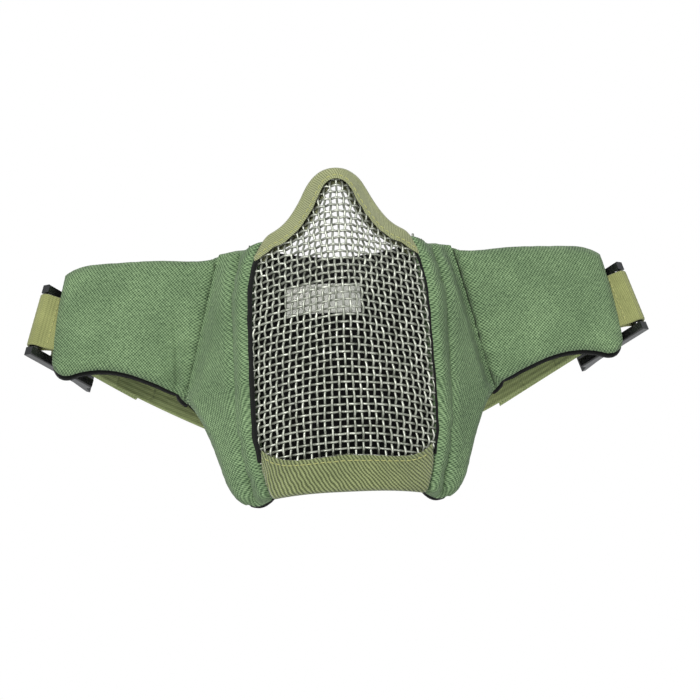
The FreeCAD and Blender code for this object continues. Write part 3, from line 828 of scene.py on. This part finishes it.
def nose_binding():
    low, high = box_mm("nose_binding")
    xs = np.arange(low[0] + 0.4, high[0] - 0.2, 0.5)
    place, under, top = outline("nose_binding", xs, low[2] - 2, high[2] + 2, 4)
    under = under + 1.9 * np.exp(-(place / 6.5) ** 2)
    keep = np.abs(place) < 30.2
    inner_keep = np.abs(place) < 26.5
    # the ends run on down between the hem and the wires
    outer_end = [(32.0, 32.2), (33.9, 28.6), (35.5, 25.0)]
    inner_end = [(29.5, 26.0), (32.4, 23.9), (35.3, 22.4)]

    def line(middle, ends):
        left = [(-x, z) for x, z in ends[::-1]]
        points = resampled(np.array(left + list(middle) + ends), 170)
        for _ in range(8):
            points[1:-1] = (points[:-2] + 2 * points[1:-1] + points[2:]) / 4
        return points

    outer = line(np.stack([place[keep], top[keep]], 1), outer_end)
    inner = line(np.stack([place[inner_keep], under[inner_keep]], 1), inner_end)
    folded_strip("nose_tape", outer, inner, 1.2, 3.2, 0.8, TAPE, "nose_binding", 5, 1.5)


def chin_binding():
    place, foot, top = outline("chin_panel", np.arange(-36.0, 36.01, 0.6), -83.0, -50.0, 3)
    # the lower edge is a little higher at the middle, where the tape is pulled over the rim
    foot = foot + 1.2 * (1 - (place / 36.0) ** 2)
    inner = resampled(np.stack([place, top], 1), 130)
    outer = resampled(np.stack([place, foot], 1), 130)
    lip = 0.55 * np.clip(1 - (np.linspace(-1, 1, 130)) ** 4, 0, 1)
    folded_strip("chin_band", outer, inner, 1.3, 3.3, 0.9, TWILL, "chin_panel", 9, 2.2,
                 lip)


nose_binding()
chin_binding()


# ---------------------------------------------------------------------------------------------
# padded cheeks and wings, made on the right and mirrored for the left
def clustered(count):
    """0 to 1, closer together towards both ends."""
    t = np.linspace(0, 1, count)
    return 0.35 * t + 0.65 * (0.5 - 0.5 * np.cos(math.pi * t))


def edge_of(tree, lines, end, low, high, along_x):
    """First (end 0) or last (end 1) place met on each line, filled where a line misses."""
    found = [span(tree, line, low, high, along_x, 0.25) for line in lines]
    seen = [i for i, f in enumerate(found) if f is not None]
    return np.interp(np.arange(len(lines)), seen, [found[i][end] for i in seen])


def rows_of(tree, zs, end, low=20.0, high=140.0):
    """x of an edge at each height."""
    return edge_of(tree, zs, end, low, high, True)


def columns_of(tree, xs, end):
    """Height of an edge at each x."""
    return edge_of(tree, xs, end, -60.0, 50.0, False)


def lumps(x, z, seed, scale, octaves=3):
    """Smooth random height over x and z, about -1 to 1."""
    r = np.random.default_rng(seed)
    total = 0.0
    size = 1.0
    for _ in range(octaves):
        for _ in range(5):
            angle, phase = r.uniform(0, 2 * math.pi, 2)
            k = 2 * math.pi / (scale * size * r.uniform(0.8, 1.3))
            wave = np.sin(k * (x * math.cos(angle) + z * math.sin(angle)) + phase)
            total = total + size ** 0.9 * wave / 3.2
        size *= 0.55
    return total


def over(low, high, share):
    return low + share * (high - low)


def near(distance, width):
    """1 at no distance, falling smoothly to 0 at the given width."""
    t = np.clip(1 - distance / width, 0, 1)
    return t * t * (3 - 2 * t)


def rounded(distance, radius):
    """Quarter circle: 0 at an edge, 1 from the radius inwards."""
    t = np.clip(distance / radius, 0, 1)
    return np.sqrt(np.clip(1 - (1 - t) ** 2, 0, 1))


EDGE_DEPTH = 2.2             # where a cover's front and back meet at its rim, in mm behind the CAD's face
LINING_DEPTH = 5.3           # the same for a lining
LINING_HALF = 1.3            # half its thickness
SEAM_LEVEL = 1.6             # depth of the right crease, in mm
LEFT_CREASE_RISE = 1.2       # how much fuller the left crease is
FOLD_AT = 12.0               # how far out the left wing's own fold lies
KNEE_Z = -29.0               # height where the cheek's free lower edge meets the crease
CREASE_REACH = 11.0          # how far from the crease the pads dip towards it
HEM_REACH = {"left": 0.8, "right": 2.4}      # how far each hem is pulled in over the wires
LEFT_WEAVE_SHIFT = 37.0      # so that the two sides aren't the same cloth


class Patch:
    """Part of a pad's surface, mapped from u across and v up it, both from 0 to 1. s and t are the
    distances in mm from its u = 0 and v = 0 edges, s_left and t_left those from the other two."""

    def __init__(self, surface, x, z):
        self.surface = surface
        self.x = x
        self.z = z
        base = surface.point(x, z)
        self.s = run_lengths(base)
        self.t = run_lengths(base.swapaxes(0, 1)).T
        self.s_left = self.s[-1:] - self.s
        self.t_left = self.t[:, -1:] - self.t

    def closed(self, name, front, back, material, side, from_end=False, drop=0.0):
        """Closed piece between two depths. Its weave is measured from its u = 0 edge or its u = 1
        edge, and by height. drop moves it down, by mm at each point."""
        first = self.surface.point(self.x, self.z, front)
        second = self.surface.point(self.x, self.z, back)
        first[..., 2] -= drop
        second[..., 2] -= drop
        uv = np.stack([-self.s_left if from_end else self.s, self.z * 1.04], -1)
        uv = uv + LEFT_WEAVE_SHIFT * (side < 0)
        builder = Builder()
        builder.shell(placed(first, side), placed(second, side), uv, wall=1.0)
        return mesh_fix(builder.object(name, material))


def hem_pull(name, z):
    """How far the hem's inner edge lies in from the CAD's, most near the top."""
    return HEM_REACH[name] * near(np.abs(z - 16.0), 90.0)


def cheek_patch(name):
    """The cheek and the hem beside the mesh, as one surface from the mesh's edge to the crease."""
    hem_tree = tree_of("right_hem")
    cheek_tree = tree_of("right_cheek_cover")
    surface = Field(tree_of("right_cheek_cover", "wire_mesh_panel"), 26.0, 82.0, -88.0, 40.0)
    vs = clustered(150)
    us = clustered(64)
    z_in = over(-81.0, 32.6, vs)
    z_out = over(-81.2, 29.3, vs)
    x_in = smooth_line(rows_of(hem_tree, z_in, 0), 4) - hem_pull(name, z_in)
    x_out = smooth_line(rows_of(cheek_tree, z_out, 1), 2) + 0.8
    x = (1 - us)[:, None] * x_in[None] + us[:, None] * x_out[None]
    z = (1 - us)[:, None] * z_in[None] + us[:, None] * z_out[None]
    return Patch(surface, x, z)


def wing_patch():
    tree = tree_of("right_wing_cover")
    surface = Field(tree, 42.0, 134.0, -46.0, 42.0)
    us = clustered(120)
    vs = clustered(84)
    left_z = over(-32.0, 29.2, vs)
    left_x = smooth_line(rows_of(tree, left_z, 0, 40.0), 3) - 0.8
    right_z = over(-18.2, 26.6, vs)
    right_x = smooth_line(rows_of(tree, right_z, 1, 40.0), 5)
    top_x = over(left_x[-1], right_x[-1], us)
    top_z = smooth_line(columns_of(tree, top_x, 1), 4)
    foot_x = over(left_x[0], right_x[0], us)
    foot_z = smooth_line(columns_of(tree, foot_x, 0), 4)
    u = us[:, None, None]
    v = vs[None, :, None]
    left = np.stack([left_x, left_z], -1)[None]
    right = np.stack([right_x, right_z], -1)[None]
    foot = np.stack([foot_x, foot_z], -1)[:, None]
    top = np.stack([top_x, top_z], -1)[:, None]
    corners = [((side + edge) / 2)[None, None] for side, edge in
               ((left[0, 0], foot[0, 0]), (left[0, -1], top[0, 0]),
                (right[0, 0], foot[-1, 0]), (right[0, -1], top[-1, 0]))]
    spots = ((1 - v) * foot + v * top + (1 - u) * left + u * right
             - ((1 - u) * (1 - v) * corners[0] + (1 - u) * v * corners[1]
                + u * (1 - v) * corners[2] + u * v * corners[3]))
    return Patch(surface, spots[..., 0], spots[..., 1])


def on_cheek(piece):
    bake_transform(piece)


def on_wing(piece):
    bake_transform(piece)


def crease_depth(side, z):
    """How far the pads dip at the crease, at height z: down to the seam, or full on the left."""
    return SEAM_LEVEL + 0.5 * near(np.abs(z - 31.0), 14.0) if side > 0 else -LEFT_CREASE_RISE


def knee_distance(cheek):
    """Distance in mm from the cheek's free lower edge, which ends at the crease."""
    return np.where(cheek.z < KNEE_Z, cheek.s_left, cheek.s_left + (cheek.z - KNEE_Z) * 1.2)


def cheek_pad(name, side, seed, c):
    low = c.t
    top = c.t_left
    knee = knee_distance(c)
    rim = rounded(low, 4.5) * rounded(top, 4.0)
    body = rim * rounded(c.s, 2.6) * rounded(knee, 4.5)
    hem_lift = 1.3 * near(c.s - 3.0, 12.0) * (0.25 + 0.75 * rounded(top, 12.0))
    seam = 0.4 * near(np.abs(c.s - 9.0), 4.5) * rounded(low, 14.0)
    middle = np.minimum(knee + 3.0, c.s + 2.0)
    swell = PAD_PUFF * rounded(middle, 12.0) * rounded(low, 20.0) * rounded(top, 16.0)
    above = np.clip((c.z + 34.0) / 4.0, 0, 1)
    toward = near(c.s_left, CREASE_REACH) * above
    swell = swell * (1 - toward)
    dip = crease_depth(side, c.z) * toward
    creases = 0.16 * lumps(c.x, c.z * 1.7, seed, 15.0) + 0.1 * lumps(c.x * 1.6, c.z, seed + 1, 7.0)
    pulls = 0.35 * near(c.s_left, 16.0) * near(np.abs(c.z + 8), 40.0)
    pulls = pulls * np.sin(c.z * 0.55 + 0.02 * c.s * c.z + seed)
    front = EDGE_DEPTH - (EDGE_DEPTH + hem_lift + swell) * body + (seam + dip + creases + pulls) * body
    back = EDGE_DEPTH + 2.2 * rim * rounded(c.s, 2.0) * rounded(knee, 4.5)
    cover = c.closed(name + "_cheek_pad", front, back, CANVAS, side, from_end=True)
    on_cheek(cover)
    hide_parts(name + "_hem", name + "_cheek_cover", name + "_cheek_foam")


def wing_pad(name, side, seed, w):
    body = rounded(w.t, 4.2) * rounded(w.t_left, 4.2) * rounded(w.s_left, 4.5)
    middle = np.minimum(w.s_left, np.minimum(w.t, w.t_left))
    toward = near(w.s, CREASE_REACH)
    swell = PAD_PUFF * rounded(middle, 22.0) * (1 - toward)
    dip = crease_depth(side, w.z) * toward
    if side < 0:
        fold = np.abs(w.s - FOLD_AT - 0.16 * (w.z + 30.0))
        deep = 1.0 + 1.2 * near(w.t, 18.0)
        dip = dip + (deep * near(fold, 8.0) + 1.5 * near(fold, 2.2)) * near(w.t - 6.0, 40.0)
    else:
        dip = dip + 1.3 * near(np.hypot(w.s, w.t - 4.0), 13.0)
    creases = 0.2 * lumps(w.x, w.z * 1.5, seed + 7, 22.0) + 0.09 * lumps(w.x, w.z, seed + 8, 8.0)
    rays = 0.4 * near(w.s, 34.0) * near(6.0 - w.s, 6.0)
    rays = rays * np.sin((w.t - w.t_left) * 0.22 / (0.35 + w.s / 30.0) + seed)
    tabs = 0.28 * near(w.s_left, 12.0) * np.sin(w.t * 0.5 + seed)
    front = EDGE_DEPTH - (EDGE_DEPTH + swell) * body + (dip + creases + rays + tabs) * body
    back = EDGE_DEPTH + 2.2 * body
    cover = w.closed(name + "_wing_pad", front, back, CANVAS, side)
    on_wing(cover)
    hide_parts(name + "_wing_cover", name + "_wing_foam")


def wing_lining(name, side, seed, w):
    """Black padded lining behind the wing; it shows as a dark rim below and behind."""
    body = rounded(w.t - 0.5, 2.4) * rounded(w.t_left - 0.5, 2.4) * rounded(w.s_left - 0.5, 2.4)
    middle = np.minimum(np.minimum(w.s + 4.0, w.s_left), np.minimum(w.t, w.t_left))
    swell = 0.9 * rounded(middle, 20.0)
    ripple = 0.15 * lumps(w.x, w.z, seed + 21, 14.0)
    back = LINING_DEPTH + (LINING_HALF + swell + ripple) * body
    front = LINING_DEPTH - LINING_HALF * body
    drop = near(w.t, 9.0) * (3.0 * rounded(w.s, 18.0) - 1.5) + 1.4 * near(w.t_left, 9.0) * near(w.s, 20.0)
    lining = w.closed(name + "_wing_back", front, back, LINING, side, drop=drop)
    on_wing(lining)
    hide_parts(name + "_wing_lining")


def cheek_lining(name, side, seed, c):
    body = rounded(c.t - 0.5, 2.4) * rounded(c.t_left - 0.5, 2.4)
    body = body * rounded(knee_distance(c) - 0.5, 2.4) * rounded(c.s - 2.0, 2.4)
    ripple = 0.15 * lumps(c.x, c.z, seed + 31, 12.0)
    swell = 0.7 * rounded(np.minimum(c.s_left, c.s) - 2.0, 10.0)
    back = LINING_DEPTH + (LINING_HALF + ripple + swell) * body
    front = LINING_DEPTH - LINING_HALF * body
    drop = 1.2 * near(c.t_left, 7.0) - 0.6 * near(c.t, 9.0)
    lining = c.closed(name + "_cheek_back", front, back, LINING, side, from_end=True, drop=drop)
    on_cheek(lining)
    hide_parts(name + "_cheek_lining")


def crease_lining(name, side, cheek, wing):
    """The lining where it turns round the back of the crease, from the cheek to the wing."""
    zs = np.linspace(-26.5, 26.2, 60)
    edge = np.interp(zs, wing.z[0], wing.x[0]) + 0.4
    inner = cheek.surface.normal(edge - 1.5, zs)
    outer = wing.surface.normal(edge + 1.5, zs)
    base = (cheek.surface.point(edge, zs) + wing.surface.point(edge, zs)) / 2
    rows = []
    for share in np.linspace(-1, 1, 13):
        turn = unit(inner * (0.5 - 0.5 * share) + outer * (0.5 + 0.5 * share))
        rows.append(base - turn * (6.0 + 0.25 * np.cos(share * 1.5) + 0.12 * np.sin(zs * 0.4))[:, None])
    # its two long edges run on past the turn, under the linings
    first = np.array([rows[0] * 4.0 - rows[1] * 3.0] + rows + [rows[-1] * 4.0 - rows[-2] * 3.0])
    between_them = np.broadcast_to((inner + outer) / 2, (len(rows),) + inner.shape)
    second = first + 1.1 * np.concatenate([[inner], between_them, [outer]])
    uv = np.stack(np.broadcast_arrays(0.8 * (np.arange(len(first)) + 1)[:, None], zs[None]), -1)
    builder = Builder()
    builder.shell(placed(first, side), placed(second, side), uv)
    obj = mesh_fix(builder.object(name + "_crease_back", LINING))
    on_wing(obj)


def pads():
    wing = wing_patch()
    for side, name, seed in ((1, "right", 40), (-1, "left", 90)):
        cheek = cheek_patch(name)
        cheek_pad(name, side, seed, cheek)
        wing_pad(name, side, seed, wing)
        wing_lining(name, side, seed, wing)
        cheek_lining(name, side, seed, cheek)
        crease_lining(name, side, cheek, wing)


pads()


# ---------------------------------------------------------------------------------------------
# black strip along the dark line beside the mesh, inner liner and label
DARK_LINE_W = 4.0
CLOTH_T = 0.6                # the liner's thickness
LABEL_T = 0.4
LABEL_W = 32.0


def dark_line_strip():
    """Black strip beside the mesh, laid along the dark line between the hem and the wires; more of it shows
    on the left.
    """
    hem_tree = tree_of("right_hem")
    zs = np.linspace(-64.0, 29.6, 150)
    xs = smooth_line(rows_of(hem_tree, zs, 0), 5)
    for side, name, show in ((1, "right", 0.7), (-1, "left", 1.7)):
        x = xs - show + DARK_LINE_W / 2 - hem_pull(name, zs)
        path = FRONT.point(x, zs, 0.15 + 0.1 * np.sin(zs * 0.5))
        across = np.cross(FRONT.normal(x, zs), np.gradient(path, axis=0))
        builder = Builder()
        band(builder, placed(path, side), placed(across, side), DARK_LINE_W, 1.5, core=6)
        obj = mesh_fix(builder.object(name + "_edging", LINING))
        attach(obj, "centre")


def cloth_sheet(name, surface, x, z, depth, thick, material):
    """Thin closed cloth over a surface."""
    first = surface.point(x, z, depth)
    second = surface.point(x, z, depth + thick)
    builder = Builder()
    builder.shell(first, second, np.stack([x, z], -1))
    return mesh_fix(builder.object(name, material))


def liner(surface):
    vs = np.linspace(0, 1, 90)[None]
    us = np.linspace(-1, 1, 80)[:, None]
    z = over(-75.4, 23.6, vs)
    half = smooth_line(rows_of(tree_of("inner_liner"), z[0], 1, 0.0, 60.0), 4)
    x = us * half[None]
    # its top edge is cut higher at the sides, beside the nose
    rows = z + 9.0 * us ** 2 * vs ** 4
    sag = (0.35 * lumps(x, rows, 3, 22.0) + 0.15 * lumps(x, rows, 4, 8.0)) * (1 - us ** 4)
    obj = cloth_sheet("liner", surface, x, rows, 0.2 + sag, CLOTH_T, CLOTH)
    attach(obj, "centre")
    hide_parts("inner_liner")


def label(surface):
    """Blank label, sewn to the liner along its two long edges and a little lifted at its ends."""
    low, high = box_mm("care_label")
    us = np.linspace(0, 1, 60)[:, None]
    vs = np.linspace(0, 1, 28)[None]
    x = np.broadcast_to(low[0] + us * (high[0] - low[0]), (60, 28))
    z = low[2] + 0.25 + vs * (high[2] - low[2] - 0.5) + 0.35 * np.sin(us * 3.1)
    lift = -0.75 - 0.25 * near(np.minimum(us, 1 - us) * LABEL_W, 5.0) + 0.12 * lumps(x, z, 8, 9.0)
    obj = cloth_sheet("label", surface, x, z, lift, LABEL_T, LABEL)
    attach(obj, "centre")
    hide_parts("care_label")
    xs = np.linspace(low[0] + 1, high[0] - 1, 40)
    for number, row in enumerate((low[2] + 1.1, high[2] - 1.1)):
        zs = np.full_like(xs, row)
        builder = Builder()
        stitches(builder, surface.point(xs, zs, -1.1), surface.normal(xs, zs), pitch=2.2, length=1.5,
                 radius=0.2)
        seam = builder.object("label_stitches_%d" % number, LABEL)
        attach(seam, "centre")


dark_line_strip()
behind_mesh = Field(tree_of("inner_liner"), -45.0, 45.0, -84.0, 32.0)
liner(behind_mesh)
label(behind_mesh)


# ---------------------------------------------------------------------------------------------
# webbing tabs, ladder locks and the head strap
# BAR is the middle of the right lock's rear bar. E1 runs along it, E2 from it down the lock and E3
# out of the lock's plane. OUT is the way the tab comes out of the wing and UP is square to it.
BAR = np.array(joint("right_buckle_swing")["pos_m"]) / MM
E1 = unit(-np.array(joint("right_buckle_swing")["axis"], float))
LOCK_WAY = np.array([-0.677, 0.657, -0.333])
E2 = unit(LOCK_WAY - E1 * LOCK_WAY.dot(E1))
E3 = np.cross(E1, E2)
TAB_WAY = np.array([1.0, 0.14, 0.0])
OUT = unit(TAB_WAY - E1 * TAB_WAY.dot(E1))
UP = np.cross(E1, OUT)
STRIP_W = WEB_W - 0.3        # the webbing's and the strap's width between the lock's rails
LOOP_R = 3.18                # middle of the webbing where it turns round the rear bar
TAIL = {"left": 17.0, "right": 34.0}         # how far each tail hangs past the lever
HEM = 8.0                    # length of the tail's folded hem
TAIL_FROM = (39.0, -3.35)    # where the tail starts, along E2 and E3
STRAP_FROM = (44.2, -5.6)    # where the head strap starts, along E2 and E3
STRAP_SLOPE = 0.56
STRAP_BEND = 35.0


def in_lock(points):
    points = np.asarray(points, float)
    return BAR + points[:, :1] * E2 + points[:, 1:2] * E3


def smooth_path(points, step):
    """Even points along a path, its corners rounded off."""
    points = np.asarray(points, float)
    for _ in range(4):
        cut = [points[0]]
        for a, b in zip(points[:-1], points[1:]):
            cut += [a * 0.75 + b * 0.25, a * 0.25 + b * 0.75]
        points = np.array(cut + [points[-1]])
    length = np.linalg.norm(np.diff(points, axis=0), axis=1).sum()
    return resampled(points, int(length / step) + 2)


def lengthwise(s, w):
    """Ribs that run along a strap."""
    return 0.13 * math.cos(math.pi * 10 * w)


def stitch_row(name, material, body, line, face, side, pitch):
    """A row of stitches across the webbing, riding with it."""
    builder = Builder()
    faces = np.broadcast_to(face, line.shape)
    stitches(builder, placed(line, side), placed(faces, side), pitch=pitch, length=1.9)
    seam = builder.object(name, material)
    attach(seam, body)


def tab(side, name):
    """Webbing loop from the wing's end round the lock's rear bar and back, sewn close to the bar."""
    turns = np.radians(np.linspace(106, -106, 40))
    path = [(-13.5, 0.78), (-9.5, 0.8), (-6.2, 0.85), (-3.4, 1.8)]
    path += [(LOOP_R * math.cos(a), LOOP_R * math.sin(a)) for a in turns]
    path += [(-3.4, -1.8), (-6.2, -0.85), (-9.5, -0.8), (-13.5, -0.78)]
    path = smooth_path(path, 0.24)
    spots = BAR + path[:, :1] * OUT + path[:, 1:2] * UP
    across = np.broadcast_to(E1, spots.shape)
    builder = Builder()
    band(builder, placed(spots, side), placed(across, side), STRIP_W, WEB_T - 0.15, core=30,
         ribs=lambda s, w: 0.11 * math.cos(2 * math.pi * s / 1.45) + 0.03 * math.cos(30 * w))
    obj = mesh_fix(builder.object(name + "_tab", WEBBING))
    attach(obj, name + "_wing")
    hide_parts(name + "_webbing_tab")
    for number, sign in enumerate((1, -1)):
        line = BAR - OUT * 5.4 + UP * 1.75 * sign + np.linspace(-11.2, 11.2, 30)[:, None] * E1
        stitch_row(name + "_tab_stitches_%d" % number, THREAD_KHAKI, name + "_wing",
                   line, UP * sign, side, 2.7)


def strap_end(side, name):
    """The strap's own end: round the grip bar, out under the lever, and a drooping hemmed tail."""
    path = [(44.0, -5.6), (32.0, -5.3), (20.0, -4.9), (12.6, -4.2), (10.4, -2.2), (10.6, 1.2),
            (12.8, 3.0), (16.5, 3.2), (19.6, 2.6), (21.2, 0.4), (22.4, -1.8), (26.0, -3.3),
            (32.0, -3.35), TAIL_FROM]
    flat = smooth_path(path, 0.7)
    past = np.linspace(0.7, TAIL[name], int(TAIL[name] / 0.6))
    droop = in_lock(np.stack([TAIL_FROM[0] + past, TAIL_FROM[1] - 0.0085 * past ** 2], -1))
    droop = droop + E1 * (0.0035 * past ** 2)[:, None]
    spots = np.concatenate([in_lock(flat), droop])
    across = np.concatenate([np.broadcast_to(E1, (len(flat), 3)), E1 + E2 * (0.006 * past)[:, None]])
    start = TAIL[name] - HEM
    one_layer = STRAP_T - 0.1
    tail_t = STRAP_T + one_layer * np.clip((past - start) / 0.7, 0, 1)
    thick = np.concatenate([np.full(len(flat), one_layer), tail_t])
    builder = Builder()
    band(builder, placed(spots, side), placed(across, side), STRIP_W, thick, ribs=lengthwise, core=60)
    obj = mesh_fix(builder.object(name + "_strap_tail", ELASTIC))
    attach(obj, name + "_buckle")
    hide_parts(name + "_strap_end")
    k = len(flat) + int(np.searchsorted(past, start + 1.8))
    wide = unit(across[k])
    face = unit(np.cross(spots[k + 1] - spots[k - 1], wide))
    for number, sign in enumerate((1, -1)):
        line = spots[k] + face * sign * (thick[k] / 2 + 0.1) + np.linspace(-11, 11, 24)[:, None] * wide
        stitch_row(name + "_tail_stitches_%d" % number, THREAD_KHAKI, name + "_buckle",
                   line, face * sign, side, 2.6)


strap_start = BAR + E2 * STRAP_FROM[0] + E3 * STRAP_FROM[1]
strap_back = box_mm("head_strap")[1][1] - STRAP_T / 2


def strap_middle(x):
    """Centre line of the head strap on the right, at x from the middle."""
    x = np.asarray(x, float)
    low = strap_start[2] - STRAP_SLOPE * (math.hypot(strap_start[0], STRAP_BEND) - STRAP_BEND)
    z = low + STRAP_SLOPE * (np.hypot(x, STRAP_BEND) - STRAP_BEND)
    y = strap_back - (strap_back - strap_start[1]) * np.abs(x / strap_start[0]) ** 2.4
    return np.stack([x, y, z], -1)


def strap_across(x):
    """Across the strap: upright at the back, turning to the lock's bar at its end."""
    ahead = unit(strap_middle(x + 0.5) - strap_middle(x - 0.5))
    plain = unit(np.array([0.0, 0.0, -1.0]) + ahead * ahead[:, 2:3])
    share = np.clip((np.abs(x) / strap_start[0] - 0.45) / 0.55, 0, 1)[:, None] ** 2
    return plain * (1 - share) + E1 * share


def head_strap():
    last = strap_start[0]
    parts = (("middle", 0.0, 50.0, "centre", "cheek", 3.0, 47.0),
             ("side", 50.0, 80.0, "cheek", "wing", 51.0, 79.0),
             ("end", 80.0, last, "wing", "buckle", 80.5, last - 0.5))
    for side, name in ((1, "right"), (-1, "left")):
        for stem, x0, x1, first, second, b0, b1 in parts:
            x = np.linspace(x0, x1, int((x1 - x0) / 0.8) + 2)
            spots = strap_middle(x)
            spots[:, 1] += 0.25 * np.sin(x * 0.16 + 1.0) * np.clip(1 - x / last, 0, 1)
            builder = Builder()
            band(builder, placed(spots, side), placed(strap_across(x), side), STRIP_W, STRAP_T - 0.1,
                 ribs=lengthwise, core=60)
            obj = mesh_fix(builder.object("strap_%s_%s" % (stem, name), ELASTIC))
            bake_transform(obj)
            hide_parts("head_strap")


def locks():
    """The CAD's ladder locks, in moulded plastic with softened edges."""
    for name in ("left", "right"):
        node = frame["nodes"][name + "_ladder_lock"]
        node.data.materials.clear()
        node.data.materials.append(PLASTIC)
        mod = node.modifiers.new("edges", "BEVEL")
        mod.width = 0.95 * MM
        mod.segments = 3
        mod.limit_method = "ANGLE"
        mod.angle_limit = math.radians(35)


for side, name in ((1, "right"), (-1, "left")):
    tab(side, name)
    strap_end(side, name)
head_strap()
locks()
